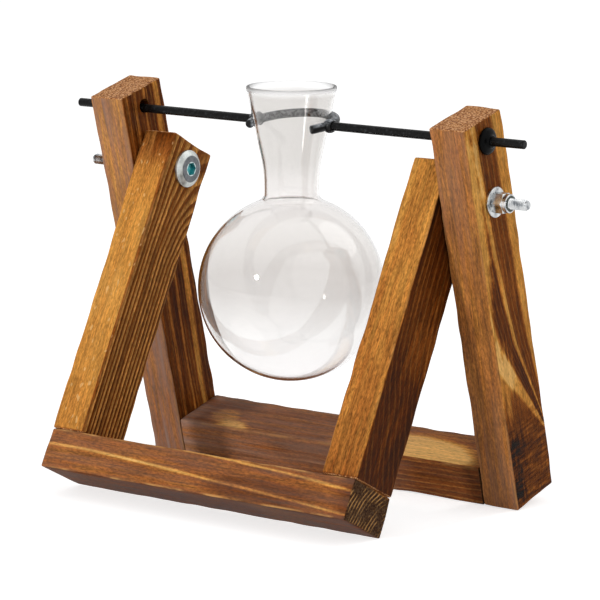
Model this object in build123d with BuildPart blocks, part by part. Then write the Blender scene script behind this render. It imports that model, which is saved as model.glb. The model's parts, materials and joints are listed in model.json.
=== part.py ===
from build123d import *
from math import atan, cos, degrees, radians, sin, sqrt
import os

# Propagation vase: a blown glass bulb that hangs in a wire ring on a folding wooden A-frame stand.
# Millimetres and degrees. The origin is on the table, under the middle of the stand's footprint.
# +X runs along the swivel rod, -Y is the front and +Z is up.

# Wooden sticks
stick_width = 15.0
stick_depth = 24.0
edge_round = 0.6

# The two frames, measured along their legs from the pivot bolts
stand_width = 170.0
tall_lean = 14.5
front_lean = 27.5
tall_leg_above_pivot = 31.0
front_leg_above_pivot = 10.0
front_leg_below_pivot = 108.7
frame_gap = 0.5

# Glued dowels in the four corners
dowel_diameter = 6.0
dowel_inset = 6.5
dowel_cover = 3.0
dowel_chamfer = 0.6
glue_clearance = 0.05
glue_pocket = 1.0

# Pivot bolts, washers and lock nuts
bolt_diameter = 4.0
bolt_tail = 7.4
bolt_chamfer = 0.6
head_diameter = 14.0
head_flat_diameter = 9.8
head_height = 2.4
head_rim = 1.0
head_gap = 0.1
socket_width = 4.5
socket_floor = 0.6
pivot_clearance = 0.1
thread_clearance = 0.05
washer_diameter = 11.0
washer_thickness = 1.0
nut_wall = 1.5
nut_height = 6.0
nut_hex_height = 4.2
nut_bevel = 0.3
nut_collar_wall = 0.5
insert_wall = 0.8
insert_height = 1.3

# Swivel rod, neck ring and rubber stops
rod_diameter = 3.2
rod_tail = 16.5
rod_below_top = 8.0
rod_play = 2.2
rod_seat_gap = 0.2
wire_end_round = 0.4
ring_tip_angle = 28.0
ring_tilt = 7.0
weld_proud = 1.0
weld_run = 1.2
stop_diameter = 9.8
stop_thickness = 2.6
stop_gap = 0.3
stop_grip_clearance = 0.02

# Glass vase
rim_diameter = 33.4
waist_diameter = 20.4
flare_length = 31.0
bulb_diameter = 68.8
vase_height = 108.8
ring_below_rim = 13.4
neck_wall = 1.8
bulb_wall = 1.2
waist_round = 48.0
shoulder_round = 3.0
neck_overlap = 8.0
ring_seat_gap = 0.3

SIDES = {"left": -1, "right": 1}


def corner_loss(lean):
    """How much the rounding of a stick's edges takes off the reach of a corner at this lean."""
    return edge_round * (cos(radians(lean)) + sin(radians(lean)) - 1)


# Both frames stand on the same table: the front frame sets the pivot's height and the tall legs follow it.
half_depth = stick_depth / 2
front_cos = cos(radians(front_lean))
front_sin = sin(radians(front_lean))
tall_cos = cos(radians(tall_lean))
tall_sin = sin(radians(tall_lean))
front_reach = front_leg_below_pivot + stick_width
pivot_height = front_reach * front_cos + half_depth * front_sin - corner_loss(front_lean)
tall_leg_below_pivot = (pivot_height + corner_loss(tall_lean) - half_depth * tall_sin) / tall_cos

# The footprint runs from the front rail's lower front edge to the tall legs' lower back edge.
front_overhang = front_reach * front_sin + half_depth * front_cos - corner_loss(front_lean)
rear_overhang = tall_leg_below_pivot * tall_sin + half_depth * tall_cos - corner_loss(tall_lean)
pivot = Vector(0, (front_overhang - rear_overhang) / 2, pivot_height)

# In each frame's plane x runs along the rails, y up the legs and z out of the frame's front face.
front_plane = Plane(origin=pivot, x_dir=(1, 0, 0), z_dir=(0, -front_cos, front_sin))
tall_plane = Plane(origin=pivot, x_dir=(1, 0, 0), z_dir=(0, -tall_cos, -tall_sin))

# Places along the rod, counted from the middle of the stand
tall_leg_outer = stand_width / 2
tall_leg_inner = tall_leg_outer - stick_width
tall_leg_middle = tall_leg_outer - stick_width / 2
front_leg_outer = tall_leg_inner - frame_gap
front_leg_inner = front_leg_outer - stick_width
front_leg_middle = front_leg_outer - stick_width / 2
bolt_seat = front_leg_inner - head_gap
nut_seat = tall_leg_outer + washer_thickness
stop_seat = tall_leg_outer + stop_gap
rod_tip = tall_leg_outer + rod_tail
bolt_length = nut_seat + nut_height + bolt_tail - bolt_seat

# Radii, and depths of the dowel holes
bolt_radius = bolt_diameter / 2
rod_radius = rod_diameter / 2
dowel_radius = dowel_diameter / 2
dowel_hole_depth = stick_width - dowel_cover
dowel_depth = dowel_hole_depth - glue_pocket
insert_radius = bolt_radius + thread_clearance + insert_wall
collar_radius = insert_radius + glue_clearance + nut_collar_wall
nut_radius = bolt_radius + nut_wall
nut_corner_radius = nut_radius * 2 / sqrt(3)

# The rod lies at the bottom of its loose holes. The vase hangs by its flared neck, so the ring's radius
# follows the glass at the ring's height. The ring's back is tilted up to where the neck is wider, so the
# vase hangs a little in front of the rod.
rod_axis = tall_plane.from_local_coords(Vector(0, tall_leg_above_pivot - rod_below_top, 0))
rod_hole_axis = rod_axis + Vector(0, 0, rod_play / 2 - rod_seat_gap)
neck_slope = (rim_diameter - waist_diameter) / 2 / flare_length
neck_taper = degrees(atan(neck_slope))
glass_radius_at_ring = rim_diameter / 2 - neck_slope * ring_below_rim
ring_radius = glass_radius_at_ring + (rod_radius + ring_seat_gap) / cos(radians(neck_taper))
ring_up = Vector(0, 0, 1).rotate(Axis.X, ring_tilt)
vase_forward = ring_radius * (1 - cos(radians(ring_tilt)) + neck_slope * sin(radians(ring_tilt)))
rim_center = rod_axis + Vector(0, -vase_forward, ring_below_rim)
weld_middle = ring_radius + weld_run
rod_start = weld_middle + rod_radius


def across(side, distance, axis_point):
    """A plane square to the rod, this far from the middle of the stand, with z pointing outwards."""
    return Plane(origin=(side * distance, axis_point.Y, axis_point.Z), x_dir=(0, 1, 0), z_dir=(side, 0, 0))


def along(side, distance, axis_point):
    """A plane through the axis for turned pieces: x is the radius and y runs outwards along the axis."""
    return Plane(origin=(side * distance, axis_point.Y, axis_point.Z), x_dir=(0, 0, 1), z_dir=(0, side, 0))


def rear_corner(side):
    """The tall leg's inner face at the middle of the rear rail, with z into the leg."""
    rail_middle = stick_width / 2 - tall_leg_below_pivot
    origin = tall_plane.from_local_coords(Vector(side * tall_leg_inner, rail_middle, 0))
    return Plane(origin=origin, x_dir=tall_plane.y_dir, z_dir=(side, 0, 0))


def front_corner(side):
    """The front rail's top under the middle of a front leg, with z into the leg."""
    origin = front_plane.from_local_coords(Vector(side * front_leg_middle, -front_leg_below_pivot, 0))
    return Plane(origin=origin, x_dir=front_plane.x_dir, z_dir=front_plane.y_dir)


def dowel_circles(radius):
    """Two circles side by side across a stick's depth, in the open sketch."""
    with GridLocations(0, stick_depth - 2 * dowel_inset, 1, 2):
        Circle(radius)


def tall_leg(side):
    with BuildPart() as leg:
        with BuildSketch(tall_plane):
            with Locations((side * tall_leg_middle, (tall_leg_above_pivot - tall_leg_below_pivot) / 2)):
                Rectangle(stick_width, tall_leg_above_pivot + tall_leg_below_pivot)
        extrude(amount=half_depth, both=True)
        fillet(leg.edges(), radius=edge_round)
        with BuildSketch(across(side, tall_leg_inner, pivot)):
            Circle(bolt_radius + thread_clearance)
        extrude(amount=stick_width, mode=Mode.SUBTRACT)
        with BuildSketch(across(side, tall_leg_inner, rod_hole_axis)):
            Circle(rod_radius + rod_play / 2)
        extrude(amount=stick_width, mode=Mode.SUBTRACT)
        with BuildSketch(rear_corner(side)):
            dowel_circles(dowel_radius + glue_clearance)
        extrude(amount=dowel_hole_depth, mode=Mode.SUBTRACT)
    return leg.part


def front_leg(side):
    with BuildPart() as leg:
        with BuildSketch(front_plane):
            with Locations((side * front_leg_middle, (front_leg_above_pivot - front_leg_below_pivot) / 2)):
                Rectangle(stick_width, front_leg_above_pivot + front_leg_below_pivot)
        extrude(amount=half_depth, both=True)
        glued_end = leg.faces().sort_by(Axis(pivot, front_plane.y_dir))[0]
        fillet(leg.edges() - glued_end.edges(), radius=edge_round)
        with BuildSketch(across(side, front_leg_inner, pivot)):
            Circle(bolt_radius + pivot_clearance)
        extrude(amount=stick_width, mode=Mode.SUBTRACT)
        with BuildSketch(front_corner(side)):
            dowel_circles(dowel_radius + glue_clearance)
        extrude(amount=dowel_hole_depth, mode=Mode.SUBTRACT)
    return leg.part


def rear_rail():
    with BuildPart() as rail:
        with BuildSketch(tall_plane):
            with Locations((0, stick_width / 2 - tall_leg_below_pivot)):
                Rectangle(2 * tall_leg_inner, stick_width)
        extrude(amount=half_depth, both=True)
        fillet(rail.edges().filter_by(Axis.X), radius=edge_round)
        for side in SIDES.values():
            with BuildSketch(rear_corner(side)):
                dowel_circles(dowel_radius + glue_clearance)
            extrude(amount=-dowel_hole_depth, mode=Mode.SUBTRACT)
    return rail.part


def front_rail():
    with BuildPart() as rail:
        with BuildSketch(front_plane):
            with Locations((0, -front_leg_below_pivot - stick_width / 2)):
                Rectangle(2 * front_leg_outer, stick_width)
        extrude(amount=half_depth, both=True)
        fillet(rail.edges(), radius=edge_round)
        for side in SIDES.values():
            with BuildSketch(front_corner(side)):
                dowel_circles(dowel_radius + glue_clearance)
            extrude(amount=-dowel_hole_depth, mode=Mode.SUBTRACT)
    return rail.part


def corner_dowels(corner):
    """Two dowels, half of each in the leg and half in the rail."""
    with BuildPart() as dowels:
        with BuildSketch(corner):
            dowel_circles(dowel_radius)
        extrude(amount=dowel_depth, both=True)
        chamfer(dowels.faces().filter_by(GeomType.PLANE).edges(), length=dowel_chamfer)
    return dowels.part


def pivot_bolt(side):
    """A flat bevelled head with a hex socket, on a shank that runs out through both legs and the nut."""
    with BuildPart() as bolt:
        with BuildSketch(along(side, bolt_seat, pivot)):
            with BuildLine():
                Polyline(
                    (0, -head_height),
                    (head_flat_diameter / 2, -head_height),
                    (head_diameter / 2, -head_rim),
                    (head_diameter / 2, 0),
                    (bolt_radius, 0),
                    (bolt_radius, bolt_length - bolt_chamfer),
                    (bolt_radius - bolt_chamfer, bolt_length),
                    (0, bolt_length),
                    close=True,
                )
            make_face()
        revolve(axis=Axis(pivot, (side, 0, 0)))
        with BuildSketch(across(side, bolt_seat - head_height, pivot)):
            RegularPolygon(socket_width / 2, side_count=6, major_radius=False)
        extrude(amount=head_height - socket_floor, mode=Mode.SUBTRACT)
    return bolt.part


def washer(side):
    with BuildPart() as disc:
        with BuildSketch(across(side, tall_leg_outer, pivot)):
            Circle(washer_diameter / 2)
            Circle(bolt_radius + thread_clearance, mode=Mode.SUBTRACT)
        extrude(amount=washer_thickness)
    return disc.part


def lock_nut(side):
    """A hexagon with bevelled corners and a round collar that holds the nylon insert."""
    with BuildPart() as nut:
        with BuildSketch(across(side, nut_seat, pivot)):
            RegularPolygon(nut_radius, side_count=6, major_radius=False)
        extrude(amount=nut_hex_height)
        with BuildSketch(along(side, nut_seat, pivot)):
            with BuildLine():
                Polyline(
                    (0, 0),
                    (nut_radius, 0),
                    (nut_corner_radius, nut_bevel),
                    (nut_corner_radius, nut_hex_height - nut_bevel),
                    (nut_radius, nut_hex_height),
                    (0, nut_hex_height),
                    close=True,
                )
            make_face()
        revolve(axis=Axis(pivot, (side, 0, 0)), mode=Mode.INTERSECT)
        with BuildSketch(across(side, nut_seat, pivot)):
            Circle(collar_radius)
        extrude(amount=nut_height)
        collar_end = nut.faces().sort_by(Axis(pivot, (side, 0, 0)))[-1]
        fillet(collar_end.edges(), radius=nut_collar_wall / 2)
        with BuildSketch(across(side, nut_seat, pivot)):
            Circle(bolt_radius + thread_clearance)
        extrude(amount=nut_height, mode=Mode.SUBTRACT)
        with BuildSketch(across(side, nut_seat + nut_height, pivot)):
            Circle(insert_radius + glue_clearance)
        extrude(amount=-insert_height, mode=Mode.SUBTRACT)
    return nut.part


def nylon_insert(side):
    with BuildPart() as insert:
        with BuildSketch(across(side, nut_seat + nut_height, pivot)):
            Circle(insert_radius)
            Circle(bolt_radius + thread_clearance, mode=Mode.SUBTRACT)
        extrude(amount=-insert_height)
    return insert.part


def rod(side):
    """Half of the swivel rod, from its weld on the ring out through the tall leg."""
    with BuildPart() as wire:
        with BuildSketch(across(side, rod_start, rod_axis)):
            Circle(rod_radius)
        extrude(amount=rod_tip - rod_start)
        free_end = wire.faces().sort_by(Axis(rod_axis, (side, 0, 0)))[-1]
        fillet(free_end.edges(), radius=wire_end_round)
    return wire.part


def neck_ring():
    """An open ring of the rod's own wire, with its gap to the front and a weld bead at each rod."""
    tip_out = Vector(1, 0, 0).rotate(Axis((0, 0, 0), ring_up), -ring_tip_angle)
    with BuildPart() as ring:
        with BuildSketch(Plane(origin=rod_axis, x_dir=tip_out, z_dir=tip_out.cross(ring_up))):
            with Locations((ring_radius, 0)):
                Circle(rod_radius)
        revolve(axis=Axis(rod_axis, ring_up), revolution_arc=180 + 2 * ring_tip_angle)
        fillet(ring.faces().filter_by(GeomType.PLANE).edges(), radius=wire_end_round)
        for side in SIDES.values():
            with Locations(across(side, weld_middle, rod_axis)):
                Sphere(rod_radius + weld_proud)
            split(bisect_by=across(side, rod_start, rod_axis), keep=Keep.BOTTOM)
    return ring.part


def rubber_stop(side):
    """A round-edged rubber ring that grips the rod outside the tall leg."""
    with BuildPart() as stop:
        with BuildSketch(across(side, stop_seat, rod_axis)):
            Circle(stop_diameter / 2)
        extrude(amount=stop_thickness)
        fillet(stop.edges().filter_by(GeomType.CIRCLE), radius=stop_thickness * 0.42)
        with BuildSketch(across(side, stop_seat, rod_axis)):
            Circle(rod_radius + stop_grip_clearance)
        extrude(amount=stop_thickness, mode=Mode.SUBTRACT)
    return stop.part


rim_plane = Plane(origin=rim_center, x_dir=(1, 0, 0), z_dir=(0, -1, 0))
bulb_depth = vase_height - bulb_diameter / 2
neck_foot_depth = vase_height - bulb_diameter + neck_overlap


def half_bottle(neck_inset, bulb_inset, rise):
    """Half of the bottle's section, its walls inset: a flare drawn this far past the rim, waist and ball."""
    rim = rim_diameter / 2 - neck_inset / cos(radians(neck_taper))
    waist = waist_diameter / 2 - neck_inset
    waist_depth = (rim - waist) / neck_slope
    top = rim + neck_slope * rise
    with BuildSketch(rim_plane) as section:
        with Locations((0, -bulb_depth)):
            Circle(bulb_diameter / 2 - bulb_inset)
        with BuildLine():
            Polyline(
                (0, rise),
                (top, rise),
                (waist, -waist_depth),
                (waist, -neck_foot_depth),
                (0, -neck_foot_depth),
            )
            mirror(about=Plane.YZ)
        make_face()
        shoulders = section.vertices().sort_by(Axis.Y)[-6:-4]
        fillet(shoulders, radius=shoulder_round + bulb_inset)
        waists = section.vertices().sort_by(Axis.Y)[-4:-2]
        fillet(waists, radius=waist_round + neck_inset)
        split(bisect_by=Plane.YZ, keep=Keep.TOP)
    return section.sketch


def glass_vase():
    """A round blown bulb with a thicker flared neck and a fire-polished lip."""
    glass = half_bottle(0, 0, 0)
    hollow = half_bottle(neck_wall, bulb_wall, neck_wall)
    axis = Axis(rim_center, (0, 0, 1))
    with BuildPart() as vase:
        revolve(glass, axis=axis)
        revolve(hollow, axis=axis, mode=Mode.SUBTRACT)
        fillet(vase.edges().group_by(Axis.Z)[-1], radius=neck_wall * 0.45)
    return vase.part


pieces = {
    "rear_rail": rear_rail(),
    "front_rail": front_rail(),
    "neck_ring": neck_ring(),
    "glass_vase": glass_vase(),
}
for name, side in SIDES.items():
    pieces["tall_leg_" + name] = tall_leg(side)
    pieces["front_leg_" + name] = front_leg(side)
    pieces["rear_dowels_" + name] = corner_dowels(rear_corner(side))
    pieces["front_dowels_" + name] = corner_dowels(front_corner(side))
    pieces["pivot_bolt_" + name] = pivot_bolt(side)
    pieces["washer_" + name] = washer(side)
    pieces["lock_nut_" + name] = lock_nut(side)
    pieces["nylon_insert_" + name] = nylon_insert(side)
    pieces["rod_" + name] = rod(side)
    pieces["rubber_stop_" + name] = rubber_stop(side)

os.makedirs("parts", exist_ok=True)
for label, piece in pieces.items():
    piece.label = label
    export_step(piece, "parts/" + label + ".step")
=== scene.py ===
import json
from math import atan, atan2, cos, pi, radians, sin, sqrt, tan

import bmesh
import bpy
from mathutils import Matrix, Vector, noise


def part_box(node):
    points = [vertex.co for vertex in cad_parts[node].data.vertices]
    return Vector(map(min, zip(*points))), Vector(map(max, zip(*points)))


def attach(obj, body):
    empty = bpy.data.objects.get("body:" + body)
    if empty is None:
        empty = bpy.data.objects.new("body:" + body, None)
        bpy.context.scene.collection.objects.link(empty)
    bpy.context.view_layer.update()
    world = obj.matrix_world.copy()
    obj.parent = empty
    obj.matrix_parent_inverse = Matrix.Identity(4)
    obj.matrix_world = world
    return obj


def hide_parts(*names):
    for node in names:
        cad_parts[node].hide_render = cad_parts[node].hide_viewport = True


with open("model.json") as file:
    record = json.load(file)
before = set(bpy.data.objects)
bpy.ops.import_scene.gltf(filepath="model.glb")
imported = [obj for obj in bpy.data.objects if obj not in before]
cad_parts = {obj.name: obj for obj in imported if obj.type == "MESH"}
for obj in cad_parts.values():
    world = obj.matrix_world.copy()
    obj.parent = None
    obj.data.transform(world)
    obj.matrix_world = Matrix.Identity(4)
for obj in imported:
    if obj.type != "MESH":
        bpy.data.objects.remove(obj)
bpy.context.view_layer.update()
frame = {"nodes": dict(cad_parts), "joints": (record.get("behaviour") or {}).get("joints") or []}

# A blown glass bulb hangs by its neck in a wire ring, on a folding A-frame stand of torched pine.
# Pieces are in metres in the part's own frame. Stick sizes and patterns are in millimetres.
MM = 0.001
SIDES = {"left": -1, "right": 1}
JOINTS = {joint["name"]: joint for joint in frame["joints"]}
PIVOT = Vector(JOINTS["stand_fold"]["pos_m"])
ROD_AXIS = Vector(JOINTS["holder_swivel"]["pos_m"])

# Places out from the middle, in millimetres: a bolt's head and its seat, the tall leg's outer face,
# the rubber stop and the bolt's tip
HEAD_END, SEAT, LEG_FACE, STOP_SEAT, TIP = 52.0, 54.4, 85.0, 85.31, 99.4

# Each wooden frame has its own axes from the pivot: x along the rails, y up the legs, z out of the front.
TALL_TURN = Matrix.Rotation(radians(-90 - 14.5), 3, "X")
FRONT_TURN = Matrix.Rotation(radians(-90 + 27.5), 3, "X")


def linear(colour):
    """An sRGB hex colour as linear RGBA."""
    parts = [int(colour[i:i + 2], 16) / 255 for i in (1, 3, 5)]
    return (*[p / 12.92 if p <= 0.04045 else ((p + 0.055) / 1.055) ** 2.4 for p in parts], 1)


def put(tree, kind, *inputs, out=0, stops=None, **settings):
    """Adds one shader node. Inputs fill its sockets in order or, in a dict, by name; stops are a ramp's."""
    made = tree.nodes.new("ShaderNode" + kind)
    for name, value in settings.items():
        setattr(made, name, value)
    for place, value in enumerate(inputs):
        for key, item in (value if isinstance(value, dict) else {place: value}).items():
            if isinstance(item, bpy.types.NodeSocket):
                tree.links.new(item, made.inputs[key])
            else:
                made.inputs[key].default_value = item
    for step, (place, tone) in enumerate(stops or ()):
        elements = made.color_ramp.elements
        stop = elements[step] if step < 2 else elements.new(place)
        stop.position = place
        stop.color = linear(tone) if isinstance(tone, str) else (tone, tone, tone, 1)
    return made.outputs[out]


def material(name):
    """A new material, its node tree and the inputs of its Principled shader."""
    made = bpy.data.materials.new(name)
    made.use_nodes = True
    shader = made.node_tree.nodes["Principled BSDF"]
    return made, made.node_tree, shader.inputs


def finished(name, bm, body, slot, skin, *nodes, sharp=None):
    """Turns a bmesh into a piece that rides on a body and stands for its CAD nodes."""
    mesh = bpy.data.meshes.new(name)
    bm.to_mesh(mesh)
    bm.free()
    mesh.shade_smooth()
    if sharp:
        mesh.set_sharp_from_angle(angle=radians(sharp))
    mesh.materials.append(skin)
    piece = bpy.data.objects.new(name, mesh)
    bpy.context.scene.collection.objects.link(piece)
    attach(piece, body)
    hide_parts(*nodes)
    return piece


# Torched pine: softwood scorched with a flame, brushed and waxed. The soft early wood of each ring chars
# brown to black, the hard late wood stays as thin orange lines, and where the flame passed lightly the wood
# is golden.
EARLY_TONES = [(0.0, "#EDB76A"), (0.07, "#DFA352"), (0.18, "#CB8B3E"), (0.3, "#B17030"), (0.45, "#90511F"),
               (0.6, "#6C360B"), (0.75, "#4A2005"), (0.88, "#2B1407"), (1.0, "#15100E")]
LATE_TONES = [(0.0, "#C88A44"), (0.2, "#B57232"), (0.4, "#CF8E48"), (0.62, "#D8984E"), (0.78, "#AC6A31"),
              (0.9, "#5E361B"), (1.0, "#2A1E18")]
END_TONES = [(0.36, "#6E4024"), (0.46, "#A56A3D"), (0.54, "#C08654"), (0.66, "#DDAC7E")]
WORN_EDGE = linear("#D9A160")
DUSTY = linear("#9C8173")
FLECK = linear("#EBC081")
SPECK = linear("#3A1E0C")

# Noise for the wood, drawn out along a stick: millimetres wide, width over length, detail and roughness.
# Fibres and pores are drawn wider than real ones, which are too fine to show.
GRAIN = {"wander": (12.0, 0.2, 2, 0.5), "streak": (2.6, 0.06, 3, 0.6), "blotch": (6.0, 0.4, 4, 0.6),
         "fibre": (0.9, 0.05, 3, 0.7), "pore": (0.55, 0.3, 2, 0.7), "speck": (0.7, 0.3, 1, 0.5),
         "finger": (1.5, 0.08, 2, 0.6), "crack": (8.0, 7.0, 3, 0.6), "chip": (1.4, 0.45, 0, 0.5)}


def torched_pine(name, turn, middle, half, along, front, back, plus, minus, ring=2.2, pith=(8, -70), focus=0,
                 spread=((0, 1), (1, 1)), bow=((0, 0), (1, 0)), drift=((0, 0), (1, 0)), slide=20, wander=1.2,
                 shake=0.5, lines=1.0, line_from=0.6, front_lines=1.0, bands=((0, 0), (60, 0)),
                 front_marks=0.0, wrap=0.0, streaks=0.25, mottle=0.3, specks=0.25, flecks=0.0,
                 dust=((0, 0), (1, 0)), side_dust=0.0, spots=(), fray=1.0, cracks=((0, 0), (1, 0)), wear=0.35,
                 ends=1.0, heart=(0, -40), end_rings=0.2):
    """One stick's wood, in millimetres from the stick's middle: across it, along it and towards its front.

    Ramps along the stick are (place, value), with places from its low end, 0, to its high end, 1.
    front, back, plus and minus say how burnt each face is, from 0, golden, to 1, charred. wrap carries the
    plus side's burn round its edge onto the front.
    Rings lie about the pith, ring apart, counted from the front face. spread, bow and drift say how they fan
    out from focus, bend and slide along the stick, up to slide millimetres. wander and shake make them waver.
    lines, line_from and front_lines are how strong late wood is, where in a ring it starts, and how much of
    it shows on the front.
    bands are changes of burn across the rings, spots are (middle, reach, change of burn) with edges torn by
    fray, and front_marks is how much of both shows on the front. cracks breaks the burn across the grain.
    streaks, mottle, specks and flecks are how uneven the colour is. dust dulls the front and, by side_dust,
    the sides. wear rubs the edges light. ends is how light the sawn ends are, with end_rings about heart."""
    made, tree, shader = material(name)
    here = put(tree, "Mapping", put(tree, "TexCoord", out="Object"),
               {"Location": -(turn @ (PIVOT / MM) + middle), "Rotation": turn.to_euler(),
                "Scale": (1 / MM,) * 3})
    axes = put(tree, "SeparateXYZ", here).node.outputs
    across, length, depth = axes[1 - along], axes[along], axes[2]
    half_across, half_length, half_depth = half[1 - along], half[along], half[2]
    grain = put(tree, "CombineXYZ", across, length, depth)
    place = put(tree, "MapRange", length, -half_length, half_length)
    noises = {}
    for kind, (width, drawn, detail, rough) in GRAIN.items():
        drawn_out = put(tree, "VectorMath", grain, (1, drawn, 1), tuple(middle), operation="MULTIPLY_ADD")
        noises[kind] = put(tree, "TexNoise", {"Vector": drawn_out, "Scale": 1 / width, "Detail": detail,
                                              "Roughness": rough})

    # Growth rings: millimetres behind the front face, fanned, bent and drifting along the stick
    radius = put(tree, "VectorMath", put(tree, "CombineXYZ", across, 0.0, depth), (pith[0], 0, pith[1]),
                 operation="DISTANCE", out="Value")
    behind = put(tree, "Math", Vector((pith[0], half_depth - pith[1])).length, radius, operation="SUBTRACT")
    fanned = put(tree, "Math", put(tree, "Math", behind, focus, operation="SUBTRACT"),
                 put(tree, "ValToRGB", place, stops=spread), operation="DIVIDE")
    bent = put(tree, "Math", behind, behind, operation="MULTIPLY")
    bent = put(tree, "Math", bent, -0.5 / half_depth, operation="MULTIPLY")
    bowed = put(tree, "ValToRGB", place, stops=bow)
    fanned = put(tree, "Math", bent, bowed, fanned, operation="MULTIPLY_ADD")
    drifted = put(tree, "ValToRGB", place, stops=drift)
    fanned = put(tree, "Math", drifted, slide, fanned, operation="MULTIPLY_ADD")
    sway = put(tree, "Math", noises["wander"], 0.5, operation="SUBTRACT")
    fanned = put(tree, "Math", sway, wander * 2, fanned, operation="MULTIPLY_ADD")
    shaken = put(tree, "Math", noises["streak"], 0.5, operation="SUBTRACT")
    fanned = put(tree, "Math", shaken, shake * 2, fanned, operation="MULTIPLY_ADD")

    # Late wood: the last part of each ring, stronger in some rings than in others
    at_front = put(tree, "MapRange", depth, half_depth - 0.9, half_depth - 0.3,
                   interpolation_type="SMOOTHSTEP")
    at_back = put(tree, "MapRange", depth, 0.9 - half_depth, 0.3 - half_depth,
                  interpolation_type="SMOOTHSTEP")
    rings = put(tree, "Math", fanned, 1 / ring, operation="MULTIPLY")
    each = put(tree, "TexWhiteNoise", {"W": put(tree, "Math", rings, operation="FLOOR")},
               noise_dimensions="1D")
    late = put(tree, "ValToRGB", put(tree, "Math", rings, operation="FRACT"),
               stops=[(0.0, 0.0), (line_from, 0.0), (0.86, 1.0), (0.93, 1.0), (1.0, 0.0)])
    strength = put(tree, "Math", put(tree, "MapRange", each, 0.0, 1.0, 0.35 * lines, lines),
                   put(tree, "MapRange", noises["blotch"], 0.3, 0.6, 0.55, 1.0), operation="MULTIPLY")
    on_face = put(tree, "MapRange", at_front, 0.0, 1.0, 1.0, front_lines)
    strength = put(tree, "Math", strength, on_face, operation="MULTIPLY")
    line = put(tree, "Math", late, strength, operation="MULTIPLY")

    # Scorch: each face's own, then bands, streaks, blotches and fibres, then spots with ragged edges
    sides = put(tree, "Mix", put(tree, "Math", across, 0.0, operation="GREATER_THAN"),
                {2: put(tree, "ValToRGB", place, stops=minus), 3: put(tree, "ValToRGB", place, stops=plus)})
    inside = put(tree, "MapRange", across, half_across - 1.2, half_across - 0.8, 1.0, 1.0 - wrap)
    burn = put(tree, "Mix", put(tree, "Math", at_front, inside, operation="MULTIPLY"),
               {2: sides, 3: put(tree, "ValToRGB", place, stops=front)})
    burn = put(tree, "Mix", at_back, {2: burn, 3: put(tree, "ValToRGB", place, stops=back)})
    first, last = bands[0][0], bands[-1][0]
    banded = put(tree, "ValToRGB", put(tree, "MapRange", fanned, first, last),
                 stops=[((at - first) / (last - first), change + 0.5) for at, change in bands])
    banded = put(tree, "Math", banded, 0.5, operation="SUBTRACT")
    marked = put(tree, "MapRange", at_front, 0.0, 1.0, 1.0, front_marks)
    burn = put(tree, "Math", banded, marked, burn, operation="MULTIPLY_ADD")
    for kind, amount in (("streak", streaks), ("blotch", mottle), ("fibre", 0.2)):
        varied = put(tree, "Math", noises[kind], 0.5, operation="SUBTRACT")
        burn = put(tree, "Math", varied, amount, burn, operation="MULTIPLY_ADD")
    cracked = put(tree, "Math", put(tree, "ValToRGB", place, stops=cracks),
                  put(tree, "MapRange", noises["crack"], 0.35, 0.65, -0.5, 0.5), operation="MULTIPLY")
    burn = put(tree, "Math", cracked, marked, burn, operation="MULTIPLY_ADD")
    torn = put(tree, "TexNoise", {"Vector": grain, "Scale": 0.22, "Detail": 3.0}, out="Color")
    torn = put(tree, "VectorMath", torn, (0.5, 0.5, 0.5), operation="SUBTRACT")
    ragged = put(tree, "VectorMath", torn, (5 * fray, 8 * fray, 5 * fray), grain, operation="MULTIPLY_ADD")
    fingers = put(tree, "MapRange", noises["finger"], 0.25, 0.75, -8 * fray, 8 * fray)
    ragged = put(tree, "VectorMath", ragged, put(tree, "CombineXYZ", 0.0, fingers, 0.0), operation="ADD")
    for centre, reach, change in spots:
        off = put(tree, "VectorMath", put(tree, "VectorMath", ragged, centre, operation="SUBTRACT"), reach,
                  operation="DIVIDE")
        near = put(tree, "MapRange", put(tree, "VectorMath", off, operation="LENGTH", out="Value"), 1.0, 0.5,
                   interpolation_type="SMOOTHSTEP")
        near = put(tree, "Math", near, marked, operation="MULTIPLY")
        burn = put(tree, "Math", near, change, burn, operation="MULTIPLY_ADD")

    # Colour: the two woods at this burn, fibres, pores and specks, pale flecks, a dusty bloom
    wood = put(tree, "Mix", line, {6: put(tree, "ValToRGB", burn, stops=EARLY_TONES),
                                   7: put(tree, "ValToRGB", burn, stops=LATE_TONES)}, data_type="RGBA", out=2)
    shade = put(tree, "Math", put(tree, "MapRange", noises["fibre"], 0.36, 0.64, 0.55, 1.42),
                put(tree, "MapRange", noises["pore"], 0.36, 0.6, 0.62, 1.14), operation="MULTIPLY")
    shade = put(tree, "Mix", put(tree, "MapRange", burn, 0.0, 0.3, 0.4, 1.0), {2: 1.0, 3: shade})
    wood = put(tree, "VectorMath", wood, {"Scale": shade}, operation="SCALE")
    specked = put(tree, "MapRange", noises["speck"], 0.57, 0.7, 0.0, specks)
    wood = put(tree, "Mix", specked, {6: wood, 7: SPECK}, data_type="RGBA", out=2)
    pale = put(tree, "Math", at_front, put(tree, "MapRange", noises["chip"], 0.74, 0.79, 0.0, flecks),
               operation="MULTIPLY")
    wood = put(tree, "Mix", pale, {6: wood, 7: FLECK}, data_type="RGBA", out=2)
    dusty = put(tree, "MapRange", at_front, 0.0, 1.0, side_dust, 1.0)
    bloom = put(tree, "Math", dusty, put(tree, "ValToRGB", place, stops=dust), operation="MULTIPLY")
    uneven = put(tree, "MapRange", noises["streak"], 0.35, 0.65, 0.4, 1.5)
    bloom = put(tree, "Math", bloom, uneven, operation="MULTIPLY")
    wood = put(tree, "Mix", bloom, {6: wood, 7: DUSTY}, data_type="RGBA", out=2)

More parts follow.
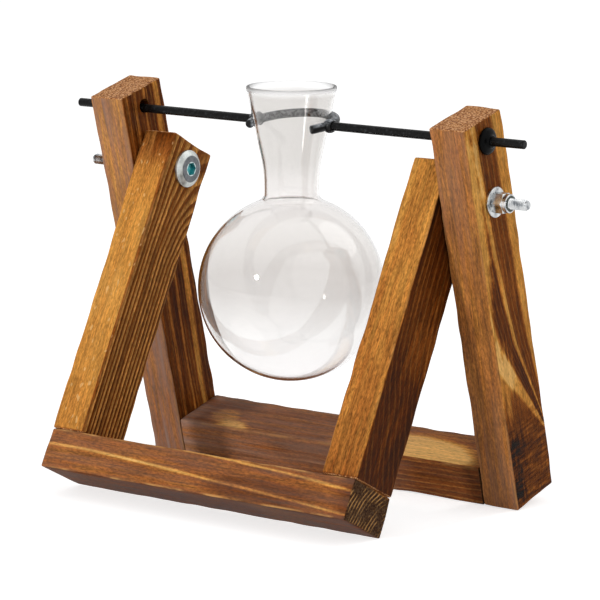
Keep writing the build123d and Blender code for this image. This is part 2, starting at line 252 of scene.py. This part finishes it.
    # Sawn ends show the pores and arcs of rings 1.6 mm apart, and edges are worn light here and there
    gaps = []
    for at, reach in ((across, half_across), (depth, half_depth), (length, half_length)):
        away = put(tree, "Math", at, operation="ABSOLUTE")
        gaps.append(put(tree, "Math", reach, away, operation="SUBTRACT"))
    side_gap, face_gap, end_gap = gaps
    at_end = put(tree, "MapRange", end_gap, 0.6, 0.25, interpolation_type="SMOOTHSTEP")
    end_wood = put(tree, "ValToRGB", noises["speck"], stops=END_TONES)
    end_wood = put(tree, "VectorMath", end_wood, {"Scale": ends}, operation="SCALE")
    from_heart = put(tree, "VectorMath", put(tree, "CombineXYZ", across, 0.0, depth), (heart[0], 0, heart[1]),
                     operation="DISTANCE", out="Value")
    arcs = put(tree, "Math", from_heart, 0.62, operation="MULTIPLY")
    arcs = put(tree, "ValToRGB", put(tree, "Math", arcs, operation="FRACT"),
               stops=[(0.0, 0.0), (0.55, 0.0), (0.8, 1.0), (0.9, 1.0), (1.0, 0.0)])
    broken = put(tree, "MapRange", noises["blotch"], 0.42, 0.6, 0.0, end_rings)
    arcs = put(tree, "Math", arcs, broken, operation="MULTIPLY")
    end_wood = put(tree, "Mix", arcs, {6: end_wood, 7: WORN_EDGE}, data_type="RGBA", out=2)
    wood = put(tree, "Mix", at_end, {6: wood, 7: end_wood}, data_type="RGBA", out=2)
    nearer = put(tree, "Math", side_gap, face_gap, operation="MINIMUM")
    farther = put(tree, "Math", side_gap, face_gap, operation="MAXIMUM")
    wear_and_sheen = put(tree, "MapRange", nearer, 1.0, 0.15, interpolation_type="SMOOTHSTEP")
    rounded = put(tree, "MapRange", farther, 1.0, 0.15, interpolation_type="SMOOTHSTEP")
    wear_and_sheen = put(tree, "Math", wear_and_sheen, rounded, operation="MULTIPLY")
    wear_and_sheen = put(tree, "Math", wear_and_sheen, put(tree, "MapRange", noises["blotch"], 0.45, 0.6, 0.0, wear),
                 operation="MULTIPLY")
    wear_and_sheen = put(tree, "Math", wear_and_sheen, put(tree, "MapRange", end_gap, 0.8, 3.0), operation="MULTIPLY")
    wood = put(tree, "Mix", wear_and_sheen, {6: wood, 7: WORN_EDGE}, data_type="RGBA", out=2)
    tree.links.new(wood, shader["Base Color"])

    # Waxed satin, glossier where charred, with the fibres and late wood standing proud
    gloss = put(tree, "MapRange", burn, 0.2, 1.0, 0.6, 0.45)
    fuzz = put(tree, "Math", noises["fibre"], 0.5, operation="SUBTRACT")
    tree.links.new(put(tree, "Math", fuzz, 0.3, gloss, operation="MULTIPLY_ADD"), shader["Roughness"])
    relief = put(tree, "Math", late, 0.6, noises["fibre"], operation="MULTIPLY_ADD")
    relief = put(tree, "Bump", {"Strength": 0.45, "Distance": 0.15 * MM, "Height": relief})
    tree.links.new(relief, shader["Normal"])
    shader["IOR"].default_value = 1.45
    shader["Specular IOR Level"].default_value = 0.05
    return made


def cut_away(piece, tool):
    """Cuts a bmesh away from a finished piece."""
    tool_mesh = bpy.data.meshes.new("cutter")
    tool.to_mesh(tool_mesh)
    tool.free()
    cutter = bpy.data.objects.new("cutter", tool_mesh)
    bpy.context.scene.collection.objects.link(cutter)
    cut = piece.modifiers.new("cut", "BOOLEAN")
    cut.object = cutter
    cut.solver = "EXACT"
    left = bpy.data.meshes.new_from_object(piece.evaluated_get(bpy.context.evaluated_depsgraph_get()))
    piece.modifiers.clear()
    piece.data = left
    bpy.data.objects.remove(cutter)


# A stick's mesh spacing, eased edges, reach and depth of wear at its edges, and saw marks, in millimetres
GRID, EASE, WEAR_REACH, WEAR_DEPTH, SAW_DEPTH = 2.2, 0.6, 1.4, 0.45, 0.22


def stick_box(node, turn):
    """A stick's lowest and highest corners in its frame's axes, in millimetres, from its CAD node."""
    spots = [turn @ (v.co - PIVOT) / MM for v in frame["nodes"][node].data.vertices]
    return Vector(map(min, zip(*spots))), Vector(map(max, zip(*spots)))


def stick(node, turn, along, body, glued_low=False, holes=(), **look):
    """A planed stick with eased, unevenly worn edges and rough-sawn ends, drilled for its bolt and rod."""
    low, high = stick_box(node, turn)
    middle, half = (low + high) / 2, (high - low) / 2
    bm = bmesh.new()
    bmesh.ops.create_cube(bm, size=2, matrix=Matrix.Diagonal(half).to_4x4())
    for axis in range(3):
        lengthwise = [e for e in bm.edges if abs((e.verts[0].co - e.verts[1].co)[axis]) > half[axis]]
        bmesh.ops.subdivide_edges(bm, edges=lengthwise, cuts=round(half[axis] * 2 / GRID), use_grid_fill=True)
    edges = [e for e in bm.edges if e.calc_face_angle(0) > 1]
    bmesh.ops.bevel(bm, geom=edges, offset=EASE, affect="EDGES", segments=3, profile=0.5, material=-1)
    for v in bm.verts:
        gaps = [half[i] - abs(v.co[i]) for i in range(3)]
        edge_gap = sorted(gaps)[1]
        wear = WEAR_DEPTH * max(0, noise.noise((v.co + middle * 3) * 0.11) + 0.25)
        wear *= max(0, 1 - edge_gap / WEAR_REACH)
        on_end = gaps[along] < 0.05 and (v.co[along] > 0 or not glued_low)
        sawn = SAW_DEPTH * (noise.noise((v.co + middle) * 0.9) + 0.6) * on_end
        for i in range(3):
            pull = wear * (gaps[i] < WEAR_REACH) + sawn * (i == along)
            v.co[i] -= pull * (1 if v.co[i] > 0 else -1)
    bm.transform(Matrix.Translation(PIVOT) @ (turn.transposed() * MM).to_4x4() @ Matrix.Translation(middle))
    skin = torched_pine("torched_pine_" + node, turn, middle, half, along, **look)
    piece = finished(node + "_wood", bm, body, "carbonised_pine", skin, node, sharp=40)
    for middle_of_hole, radius in holes:
        drill = bmesh.new()
        bore = radius * MM
        bmesh.ops.create_cone(drill, cap_ends=True, segments=40, radius1=bore, radius2=bore, depth=0.4,
                              matrix=Matrix.Translation(middle_of_hole) @ Matrix.Rotation(pi / 2, 4, "Y"))
        cut_away(piece, drill)
    piece.modifiers.new("flat_faces", "WEIGHTED_NORMAL").keep_sharp = True
    return piece


# Holes are (middle, radius). The rod lies at the bottom of its wider hole.
BOLT_HOLE = (PIVOT, 2.1)
ROD_HOLE = (ROD_AXIS + Vector((0, 0, 0.9 * MM)), 2.7)

stick("front_leg_left", FRONT_TURN, 1, "front_frame", glued_low=True, holes=[BOLT_HOLE],
      # The front face darkens in its lowest millimetre at the glued joint: a dark glue line with the gap's
      # shade painted in
      front=[(0, 0.6), (0.008, 0.22), (0.12, 0.2), (0.45, 0.13), (0.75, 0.17), (0.88, 0.26), (0.94, 0.46),
             (1, 0.66)],
      back=[(0, 0.6), (1, 0.5)], plus=[(0, 0.64), (0.3, 0.57), (0.6, 0.53), (1, 0.53)],
      minus=[(0, 0.4), (1, 0.35)],
      ring=2.86, spread=[(0, 0.7), (0.6, 0.714), (0.73, 0.753), (0.82, 0.778), (0.88, 0.814), (1, 1)],
      bow=[(0, 0), (0.62, 0), (0.73, 0.143), (0.82, 0.4), (0.88, 0.486), (1, 0.457)],
      wander=0.8, shake=0.35, lines=1.9, line_from=0.3, front_lines=0.3, wrap=0.9,
      streaks=0.12, mottle=0.16, flecks=0.45)
stick("front_leg_right", FRONT_TURN, 1, "front_frame", glued_low=True, holes=[BOLT_HOLE],
      # The front face darkens in its lowest millimetre at the glued joint: a dark glue line with the gap's
      # shade painted in
      front=[(0, 0.7), (0.008, 0.38), (0.1, 0.32), (0.5, 0.24), (1, 0.19)], back=[(0, 0.6), (1, 0.5)],
      # The outer side darkens towards its top end: char, and painted shade where the tall leg stands over it
      plus=[(0, 0.76), (0.25, 0.75), (0.45, 0.66), (0.6, 0.66), (0.75, 0.76), (1, 0.82)],
      minus=[(0, 0.5), (1, 0.4)], ring=2.8, pith=(30, -60), drift=[(0, 0), (0.4, 0.8), (0.6, 0.95), (1, 1)],
      wander=3.0, lines=0.25, front_lines=0.3, streaks=0.45, mottle=0.25, specks=0.45,
      spots=[((7.5, -5, -5), (6, 16, 11), -0.12)])
stick("front_rail", FRONT_TURN, 0, "front_frame",
      front=[(0, 0.42), (0.5, 0.46), (0.95, 0.5), (1, 0.7)], back=[(0, 0.5), (1, 0.5)],
      plus=[(0, 0.3), (1, 0.35)], minus=[(0, 0.66), (1, 0.66)],
      ring=5.0, pith=(-400, 0), focus=-1.5, slide=-7, wander=0.7, lines=0.15, streaks=0.35, wear=0.9,
      drift=[(0, 0), (0.12, 0), (0.29, 0.114), (0.44, 0.286), (0.55, 0.457), (0.71, 0.629), (0.88, 0.829),
             (1, 1)],
      bands=[(-12, 0), (-9.6, 0), (-9, -0.36), (-8.6, -0.36), (-8, 0), (-0.8, 0), (-0.2, -0.36), (0.2, -0.36),
             (0.8, 0), (6, 0)],
      ends=0.13, front_marks=1.0, fray=0.4, spots=[((-3, 29, 12), (6, 28, 6), 0.16)],
      heart=(-12, -22), end_rings=0.7, dust=[(0, 0.16), (1, 0.14)])
stick("tall_leg_left", TALL_TURN, 1, "tall_frame", holes=[BOLT_HOLE, ROD_HOLE],
      front=[(0, 0.5), (0.25, 0.42), (0.5, 0.3), (1, 0.28)], back=[(0, 0.6), (1, 0.4)],
      plus=[(0, 0.56), (0.5, 0.62), (1, 0.56)], minus=[(0, 0.5), (1, 0.35)],
      ring=2.2, pith=(4, -400), drift=[(0, 1), (1, 0)], slide=3, wander=2.0, shake=0.9, lines=0.3,
      bands=[(0, 0), (2, 0.06), (2.5, -0.22), (3.1, -0.22), (3.7, 0.06), (6.8, 0.06), (7.2, -0.24),
             (8, -0.24), (8.5, 0.06), (12.3, 0.06), (12.8, -0.24), (13.6, -0.24), (14, 0.06), (18.3, 0.06),
             (19, -0.36), (21, -0.36), (22, 0.06), (28, 0.1)],
      front_lines=0.3, streaks=0.6, dust=[(0, 0.55), (0.5, 0.42), (1, 0.42)])
stick("tall_leg_right", TALL_TURN, 1, "tall_frame", holes=[BOLT_HOLE, ROD_HOLE],
      front=[(0, 0.32), (0.4, 0.33), (0.75, 0.32), (1, 0.33)], back=[(0, 0.6), (1, 0.4)],
      plus=[(0, 0.5), (0.2, 0.46), (1, 0.42)], minus=[(0, 0.7), (1, 0.5)],
      ring=3.0, pith=(4, -400), focus=26,
      spread=[(0, 0.02), (0.14, 0.02), (0.249, 0.257), (0.413, 0.636), (0.529, 0.776), (0.67, 0.879), (1, 1)],
      bands=[(-60, 0.12), (-50, 0.1), (-45, -0.24), (-34.5, -0.28), (-31.7, 0.25), (-23.1, 0.27),
             (-21.6, -0.25), (-19.7, -0.28), (-19.0, 0.15), (-9.8, 0.13), (-8.2, -0.27), (0, -0.25)],
      wander=1.0, lines=0.25, front_lines=0.3, dust=[(0, 0.3), (0.5, 0.08), (1, 0.24)], streaks=0.2,
      spots=[((7.5, 42, 12.5), (6, 52, 8), -0.6), ((7.5, -23, 12), (6, 15, 13), -0.32),
             ((7.5, -51, 8), (6, 9, 7), 0.25), ((7.5, -66, 9), (6, 7, 6), 0.25)],
      cracks=[(0, 0.4), (0.12, 0.4), (0.2, 0.25), (0.26, 0)])
stick("rear_rail", TALL_TURN, 0, "tall_frame",
      front=[(0, 0.4), (0.25, 0.48), (0.6, 0.6), (1, 0.6)], back=[(0, 0.5), (1, 0.5)],
      plus=[(0, 0.64), (0.2, 0.55), (1, 0.53)], minus=[(0, 0.9), (1, 0.9)],
      ring=1.9, pith=(-60, -20), wander=1.5, lines=0.4, ends=0.1, side_dust=0.7, fray=0.3,
      dust=[(0, 0.5), (0.3, 0.3), (0.7, 0.24), (0.8, 0.06), (1, 0.06)],
      spots=[((7.5, -46, 12), (6, 10, 9), -0.5), ((7.5, -54, 3), (6, 8, 7), -0.35),
             ((7.5, 35, 12), (6, 40, 21), -1.0)])


def lathe(points, centre, side, steps=64):
    """A turned shape about the rod or bolt: points are (outwards, radius) in mm from its place."""
    bm = bmesh.new()
    chain = [bm.verts.new(centre + Vector((side * x, 0, r)) * MM) for x, r in points]
    chain += [bm.edges.new(pair) for pair in zip(chain, chain[1:])]
    bmesh.ops.spin(bm, geom=chain, cent=centre, axis=(1, 0, 0), angle=2 * pi, steps=steps, use_merge=True)
    bmesh.ops.remove_doubles(bm, verts=bm.verts, dist=1e-7)
    bmesh.ops.recalc_face_normals(bm, faces=bm.faces)
    return bm


# Noise scales from here on count patterns in a metre: 420 is one in 2.4 mm, 900 one in 1.1 mm, 1500 one in
# 0.7 mm. Real haze and orange-peel are finer than that and wouldn't show.

# Bright zinc plating on steel: a hard silvery metal with patches of haze that break up its reflections.
zinc, tree, shader = material("bright_zinc_on_steel")
haze = put(tree, "TexNoise", {"Vector": put(tree, "TexCoord", out="Object"), "Scale": 420.0, "Detail": 3.0})
plating = put(tree, "ValToRGB", haze, stops=[(0.34, "#7C8084"), (0.48, "#BFC1C2"), (0.7, "#DADBDA")])
tree.links.new(plating, shader["Base Color"])
tree.links.new(put(tree, "MapRange", haze, 0.3, 0.7, 0.2, 0.34), shader["Roughness"])
shader["Metallic"].default_value = 1.0

# The bolt heads' faces: the flat top is painted dark grey as a painted reflection of dark surroundings,
# ringed by its brighter bevel, and a blue-green chromate tinge down the socket is painted darker with depth
# as the socket's shade.
HEAD_FACE, SOCKET = 4.95, 2.62
zinc_with_painted_reflection, tree, shader = material("zinc_face_painted_reflection")
offset = put(tree, "VectorMath", put(tree, "TexCoord", out="Object"), PIVOT, operation="SUBTRACT")
axes = put(tree, "SeparateXYZ", offset).node.outputs
radius = put(tree, "VectorMath", put(tree, "CombineXYZ", 0.0, axes[1], axes[2]), operation="LENGTH",
             out="Value")
haze = put(tree, "TexNoise", {"Vector": offset, "Scale": 700.0, "Detail": 2.0})
# Painted reflection: the flat face is painted dark grey, its bevel bright zinc
face = put(tree, "ValToRGB", haze, stops=[(0.3, "#55585A"), (0.7, "#74767A")])
bevel = put(tree, "ValToRGB", haze, stops=[(0.3, "#A9AEAC"), (0.7, "#CFD2CF")])
past_face = put(tree, "MapRange", radius, HEAD_FACE * MM, (HEAD_FACE + 0.25) * MM)
tint_with_painted_light = put(tree, "Mix", past_face, {6: face, 7: bevel}, data_type="RGBA", out=2)
down = put(tree, "MapRange", put(tree, "Math", axes[0], operation="ABSOLUTE"), (HEAD_END + 0.1) * MM,
           (HEAD_END + 1.2) * MM)
# Chromate tinge, painted darker down the socket as its shade
chromate_and_socket_shade = put(tree, "ValToRGB", down, stops=[(0.0, "#C4D2D2"), (0.35, "#8CC0C2"), (1.0, "#58A4A8")])
past_socket = put(tree, "MapRange", radius, SOCKET * MM, (SOCKET + 0.1) * MM)
tint_with_painted_light = put(tree, "Mix", past_socket, {6: chromate_and_socket_shade, 7: tint_with_painted_light}, data_type="RGBA", out=2)
tree.links.new(tint_with_painted_light, shader["Base Color"])
tree.links.new(put(tree, "MapRange", haze, 0.3, 0.7, 0.3, 0.45), shader["Roughness"])
shader["Metallic"].default_value = 1.0

# Nylon: the dull green-grey locking ring pressed into the nut.
nylon, tree, shader = material("nylon_locking_ring")
cloud = put(tree, "TexNoise", {"Vector": put(tree, "TexCoord", out="Object"), "Scale": 1500.0})
dye = put(tree, "ValToRGB", cloud, stops=[(0.3, "#39443E"), (0.7, "#525C54")])
tree.links.new(dye, shader["Base Color"])
shader["Roughness"].default_value = 0.55

# Black powder coat on wire: satin, nearly black, with a fine orange-peel that spreads its highlight. Its
# sparse lighter flecks are painted sheen.
coat, tree, shader = material("black_powder_coat")
peel = put(tree, "TexNoise", {"Vector": put(tree, "TexCoord", out="Object"), "Scale": 900.0, "Detail": 2.0})
# Sparse lighter flecks in the colour: painted sheen
black = put(tree, "ValToRGB", peel, stops=[(0.3, "#050505"), (0.58, "#0B0B0B"), (0.72, "#26282A")])
tree.links.new(black, shader["Base Color"])
tree.links.new(put(tree, "MapRange", peel, 0.3, 0.7, 0.24, 0.4), shader["Roughness"])
tree.links.new(put(tree, "Bump", {"Strength": 0.4, "Distance": 0.0001, "Height": peel}), shader["Normal"])
shader["Specular IOR Level"].default_value = 0.12

# The same coat on the ring, painted a speckled grey on its inner side and its upward faces: a painted sheen
# for the light on its top and the lighter look of the ring behind the glass.
RING, WIRE = 15.8, 3.2
coat_with_painted_sheen, tree, shader = material("black_powder_coat_painted_sheen")
here = put(tree, "TexCoord", out="Object")
peel = put(tree, "TexNoise", {"Vector": here, "Scale": 900.0, "Detail": 2.0})
flat = put(tree, "VectorMath", here, (1, 1, 0), (0, -ROD_AXIS.y, 0), operation="MULTIPLY_ADD")
from_axis = put(tree, "VectorMath", flat, operation="LENGTH", out="Value")
inside = put(tree, "MapRange", from_axis, RING * MM, (RING - WIRE * 0.375) * MM)
normal = put(tree, "SeparateXYZ", put(tree, "NewGeometry", out="Normal")).node.outputs
# Painted sheen: speckled grey on upward faces and on the inner side
painted_top_sheen = put(tree, "MapRange", normal[2], 0.3, 0.9)
wear_and_sheen = put(tree, "Math", inside, painted_top_sheen, operation="MAXIMUM")
painted_sheen_grey = put(tree, "ValToRGB", peel, stops=[(0.36, "#1A1B1C"), (0.5, "#6F7378"), (0.64, "#A6AAAE")])
painted_sheen_grey = put(tree, "Mix", wear_and_sheen, {6: linear("#060606"), 7: painted_sheen_grey}, data_type="RGBA", out=2)
tree.links.new(painted_sheen_grey, shader["Base Color"])
tree.links.new(put(tree, "MapRange", peel, 0.3, 0.7, 0.3, 0.5), shader["Roughness"])
tree.links.new(put(tree, "Bump", {"Strength": 0.4, "Distance": 0.0001, "Height": peel}), shader["Normal"])
shader["Specular IOR Level"].default_value = 0.2

# Moulded rubber: deep black, with a soft bloom that hardly lifts it.
rubber, tree, shader = material("moulded_rubber")
bloom = put(tree, "TexNoise", {"Vector": put(tree, "TexCoord", out="Object"), "Scale": 600.0, "Detail": 3.0})
black = put(tree, "ValToRGB", bloom, stops=[(0.3, "#020202"), (0.75, "#070708")])
tree.links.new(black, shader["Base Color"])
tree.links.new(put(tree, "MapRange", bloom, 0.3, 0.7, 0.22, 0.36), shader["Roughness"])
shader["Specular IOR Level"].default_value = 0.05

# Beech dowel: pale, close-grained hardwood with short dark flecks.
beech, tree, shader = material("beech_dowel")
fleck = put(tree, "TexNoise", {"Vector": put(tree, "TexCoord", out="Object"), "Scale": 1200.0, "Detail": 3.0})
pale = put(tree, "ValToRGB", fleck, stops=[(0.35, "#A9855C"), (0.6, "#C9A678")])
tree.links.new(pale, shader["Base Color"])
shader["Roughness"].default_value = 0.7

# The vase has the CAD part's outside: a ball, a small concave shoulder, a narrow waist and a flared neck.
# Inside, its wall is thinner, with a thicker bead along the round lip. All are in millimetres.
RIM, WAIST, BULB, SHOULDER, WAIST_ROUND, FLARE = 16.7, 10.2, 34.4, 3.0, 48.0, 31.0
WALL, LIP, BEAD = 0.9, 1.3, 3.0
SLOPE = (RIM - WAIST) / FLARE
TAPER = atan(SLOPE)
vase_low, vase_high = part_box("glass_vase")
rim_centre = Vector(((vase_low[0] + vase_high[0]) / 2, (vase_low[1] + vase_high[1]) / 2, vase_high[2]))
bulb_drop = (vase_high[2] - vase_low[2]) / MM - BULB

# Clear blown soda-lime glass: colourless, with its base colour painted by height, greyer in the upper bulb
# and the neck, whiter low in the bulb and white at the very lip, as painted shade and painted light for the
# surroundings seen through it. Its fire-polished lip is a little clouded.
glass, tree, shader = material("blown_clear_glass")
height = put(tree, "SeparateXYZ", put(tree, "TexCoord", out="Object")).node.outputs[2]
height_for_painted_light = put(tree, "MapRange", height, vase_low[2], vase_high[2])
# Painted shade and light by height: greyer up the bulb and neck, whiter low in the bulb and at the lip
tint_with_painted_light = put(tree, "ValToRGB", height_for_painted_light,
           stops=[(0.0, "#FAF9F9"), (0.2, "#F1F0EF"), (0.33, "#E0DDDB"), (0.5, "#F0EEEC"), (0.62, "#F3F1F0"),
                  (0.75, "#E8E6E4"), (0.97, "#E8E6E4"), (0.985, "#FFFFFF")])
tree.links.new(tint_with_painted_light, shader["Base Color"])
clouded = put(tree, "MapRange", height, rim_centre.z - 2.2 * MM, rim_centre.z - 0.6 * MM, 0.0, 0.5)
tree.links.new(clouded, shader["Roughness"])
shader["Transmission Weight"].default_value = 1.0
shader["IOR"].default_value = 1.5


def wall_side(bm, inset):
    """Draws one side of the wall from the bulb's bottom to the flare's foot: ball, shoulder, waist, bend."""
    ball, shoulder, bend = BULB - inset, SHOULDER + inset, WAIST_ROUND + inset
    waist, rim = WAIST - inset, RIM - inset / cos(TAPER)
    reach = waist + shoulder
    rise = sqrt((ball + shoulder) ** 2 - reach ** 2)
    ball_turn = pi - atan2(reach, rise)
    bend_drop = (rim - waist) / SLOPE + bend * tan(TAPER / 2)
    bottom = bm.verts.new(rim_centre - Vector((0, 0, bulb_drop + ball)) * MM)
    top = bmesh.ops.spin(bm, geom=[bottom], cent=rim_centre - Vector((0, 0, bulb_drop)) * MM, axis=(0, -1, 0),
                         angle=ball_turn, steps=52)["geom_last"]
    shoulder_centre = rim_centre + Vector((reach, 0, rise - bulb_drop)) * MM
    low = bmesh.ops.spin(bm, geom=top, cent=shoulder_centre, axis=(0, 1, 0), angle=ball_turn - pi / 2,
                         steps=10)["geom_last"][0]
    high = bm.verts.new(rim_centre + Vector((waist, 0, -bend_drop)) * MM)
    bm.edges.new((low, high))
    bend_centre = rim_centre + Vector((waist + bend, 0, -bend_drop)) * MM
    return bmesh.ops.spin(bm, geom=[high], cent=bend_centre, axis=(0, 1, 0), angle=TAPER,
                          steps=8)["geom_last"][0]


bm = bmesh.new()
outer = wall_side(bm, 0)
inner = wall_side(bm, WALL)
half_lip = LIP / 2
lip_foot = bm.verts.new(rim_centre + Vector((RIM - SLOPE * half_lip, 0, -half_lip)) * MM)
lip_middle = lip_foot.co + Vector((-cos(TAPER), 0, sin(TAPER))) * half_lip * MM
lip_end = bmesh.ops.spin(bm, geom=[lip_foot], cent=lip_middle, axis=(0, -1, 0), angle=pi,
                         steps=12)["geom_last"][0]
bead_foot = bm.verts.new(rim_centre + Vector((RIM - WALL / cos(TAPER) - SLOPE * BEAD, 0, -BEAD)) * MM)
bm.edges.new((lip_end, bead_foot))
necks = [bm.edges.new((outer, lip_foot)), bm.edges.new((bead_foot, inner))]
bmesh.ops.subdivide_edges(bm, edges=necks, cuts=12)
bmesh.ops.spin(bm, geom=bm.verts[:] + bm.edges[:], cent=rim_centre, axis=(0, 0, 1), angle=2 * pi, steps=120,
               use_merge=True)
bmesh.ops.remove_doubles(bm, verts=bm.verts, dist=1e-6)
bmesh.ops.recalc_face_normals(bm, faces=bm.faces)
for v in bm.verts:
    v.co.z = min(v.co.z, vase_high[2])
finished("blown_vase", bm, "vase", "clear_glass", glass, "glass_vase")


# Pivot bolts: a bevelled flat head with a hex socket, and an M4 thread from inside the nut to the tip.
# With them go the flat washers and the rods' domed rubber stops.
PITCH, CORE, CREST, TURNS, TIP_CHAMFER = 0.7, 1.62, 2.0, 20, 0.7


def thread(side):
    """The threaded end: one pitch of the V swept round in a helix, cut square and chamfered at the tip."""
    bm = bmesh.new()
    low, high = sorted((side * (TIP - PITCH * (TURNS - 1)), side * TIP))
    start = PIVOT + Vector((low - PITCH, 0, 0)) * MM
    profile = ((0, CORE), (PITCH / 2, CREST), (PITCH, CORE))
    v = [bm.verts.new(start + Vector((x, 0, r)) * MM) for x, r in profile]
    bmesh.ops.spin(bm, geom=v + [bm.edges.new(v[:2]), bm.edges.new(v[1:])], cent=PIVOT, axis=(1, 0, 0),
                   angle=2 * pi * (TURNS + 1), steps=24 * (TURNS + 1), dvec=(PITCH / 24 * MM, 0, 0))
    bmesh.ops.remove_doubles(bm, verts=bm.verts, dist=1e-6)
    for x, outwards in ((low, -1), (high, 1)):
        cut = bmesh.ops.bisect_plane(bm, geom=bm.verts[:] + bm.edges[:] + bm.faces[:],
                                     plane_co=PIVOT + Vector((x * MM, 0, 0)), plane_no=(outwards, 0, 0),
                                     clear_outer=True)["geom_cut"]
        bmesh.ops.contextual_create(bm, geom=[e for e in cut if isinstance(e, bmesh.types.BMEdge)])
    for vert in bm.verts:
        beyond = abs(vert.co.x) / MM - (TIP - TIP_CHAMFER)
        arm = Vector((0, vert.co.y - PIVOT.y, vert.co.z - PIVOT.z))
        most = (CREST - 0.75 * beyond) * MM
        if beyond > 0 and arm.length > most:
            vert.co -= arm.normalized() * (arm.length - most)
    bmesh.ops.recalc_face_normals(bm, faces=bm.faces)
    return bm


for name, side in SIDES.items():
    seat = PIVOT + Vector((side * SEAT * MM, 0, 0))
    head = lathe([(-2.4, 0), (-2.4, 4.85), (-2.35, 4.95), (-1.1, 6.88), (-0.95, 7.0), (-0.1, 7.0), (0, 6.9),
                  (0, CREST), (31.5, CREST), (31.8, CORE - 0.1), (33, CORE - 0.1), (33, 0)],
                 seat, side, steps=72)
    bolt = finished("bolt_" + name, head, "tall_frame", "zinc_steel", zinc_with_painted_reflection, "pivot_bolt_" + name,
                    sharp=25)
    socket = bmesh.new()
    socket_middle = Matrix.Translation(PIVOT + Vector((side * HEAD_END * MM, 0, 0)))
    bmesh.ops.create_cone(socket, cap_ends=True, segments=6, radius1=SOCKET * MM, radius2=SOCKET * MM,
                          depth=3.2 * MM, matrix=socket_middle @ Matrix.Rotation(pi / 2, 4, "Y"))
    cut_away(bolt, socket)
    bolt.data.set_sharp_from_angle(angle=radians(25))
    finished("bolt_thread_" + name, thread(side), "tall_frame", "zinc_steel", zinc, "pivot_bolt_" + name,
             sharp=50)
    flat_washer = lathe([(0, 2.15), (0, 5.3), (0.06, 5.44), (0.2, 5.5), (0.8, 5.5), (0.94, 5.44), (1.0, 5.3),
                         (1.0, 2.15), (0, 2.15)], PIVOT + Vector((side * LEG_FACE * MM, 0, 0)), side)
    finished("flat_washer_" + name, flat_washer, "tall_frame", "zinc_steel", zinc, "washer_" + name, sharp=40)
    dome = lathe([(0, 1.61), (0, 4.7), (0.2, 4.88), (0.7, 4.88), (1.15, 4.7), (1.55, 4.25), (1.8, 3.5),
                  (1.95, 2.8), (2.2, 2.3), (2.58, 2.05), (2.58, 1.61), (0, 1.61)],
                 ROD_AXIS + Vector((side * STOP_SEAT * MM, 0, 0)), side)
    finished("domed_stop_" + name, dome, "swivel_holder", "black_rubber", rubber, "rubber_stop_" + name,
             sharp=50)

# Hardware that keeps its CAD shape gets its finish
finishes = {"neck_ring": coat_with_painted_sheen}
for name in SIDES:
    finishes.update({"lock_nut_" + name: zinc, "nylon_insert_" + name: nylon, "rod_" + name: coat,
                     "rear_dowels_" + name: beech, "front_dowels_" + name: beech})
for node, finish in finishes.items():
    frame["nodes"][node].data.materials.clear()
    frame["nodes"][node].data.materials.append(finish)


def seen_white(tree):
    """1 for the rays that see the table and room as white: from the eye, off metal and through glass."""
    path = put(tree, "LightPath").node.outputs
    bent = put(tree, "Math", path["Is Glossy Ray"], path["Is Transmission Ray"], operation="MAXIMUM")
    return put(tree, "Math", path["Is Camera Ray"], bent, operation="MAXIMUM")


# Stage: a white table that keeps the object's shadow, and a white room
scene = bpy.context.scene
scene.view_settings.view_transform = "Standard"
bm = bmesh.new()
bmesh.ops.create_grid(bm, x_segments=1, y_segments=1, size=4, matrix=Matrix.Translation((0, 0, -0.0002)))
table_mesh = bpy.data.meshes.new("table")
bm.to_mesh(table_mesh)
bm.free()
table = bpy.data.objects.new("table", table_mesh)
scene.collection.objects.link(table)
white, tree, shader = material("white_table")
shader["Base Color"].default_value = (0.8, 0.8, 0.8, 1)
shader["Roughness"].default_value = 0.9
shader["Specular IOR Level"].default_value = 0.0
tree.links.new(put(tree, "Math", seen_white(tree), 0.62, operation="MULTIPLY"), shader["Emission Strength"])
shader["Emission Color"].default_value = (1, 1, 1, 1)
table_mesh.materials.append(white)

scene.world = bpy.data.worlds.new("white_room")
scene.world.use_nodes = True
tree = scene.world.node_tree
room = tree.nodes["Background"].inputs
room["Color"].default_value = (1, 1, 1, 1)
tree.links.new(put(tree, "MapRange", seen_white(tree), 0.0, 1.0, 0.5, 1.0), room["Strength"])


def lamp(name, spot, size, power):
    """A round softbox at a spot, turned to the vase."""
    light = bpy.data.lights.new(name, "AREA")
    light.shape = "DISK"
    light.size = size
    light.energy = power
    box = bpy.data.objects.new(name, light)
    box.location = spot
    box.rotation_euler = (Vector((0, 0, 0.08)) - Vector(spot)).to_track_quat("-Z", "Y").to_euler()
    scene.collection.objects.link(box)


lamp("key_softbox", (-0.22, -1.5, 0.58), 0.16, 11)
lamp("fill_softbox", (1.7, -0.3, 0.7), 3.0, 9)
lamp("top_softbox", (0.74, 0.97, 1.27), 1.2, 3)

# The photograph's view
eye = bpy.data.cameras.new("camera")
eye.sensor_width = 36
eye.lens = 212.52
eye.clip_start = 0.05
camera = bpy.data.objects.new("camera", eye)
camera.location = (0.77604, -1.01170, 0.30156)
camera.rotation_euler = (radians(90 - 10.176), 0, radians(37.155))
scene.collection.objects.link(camera)
scene.camera = camera
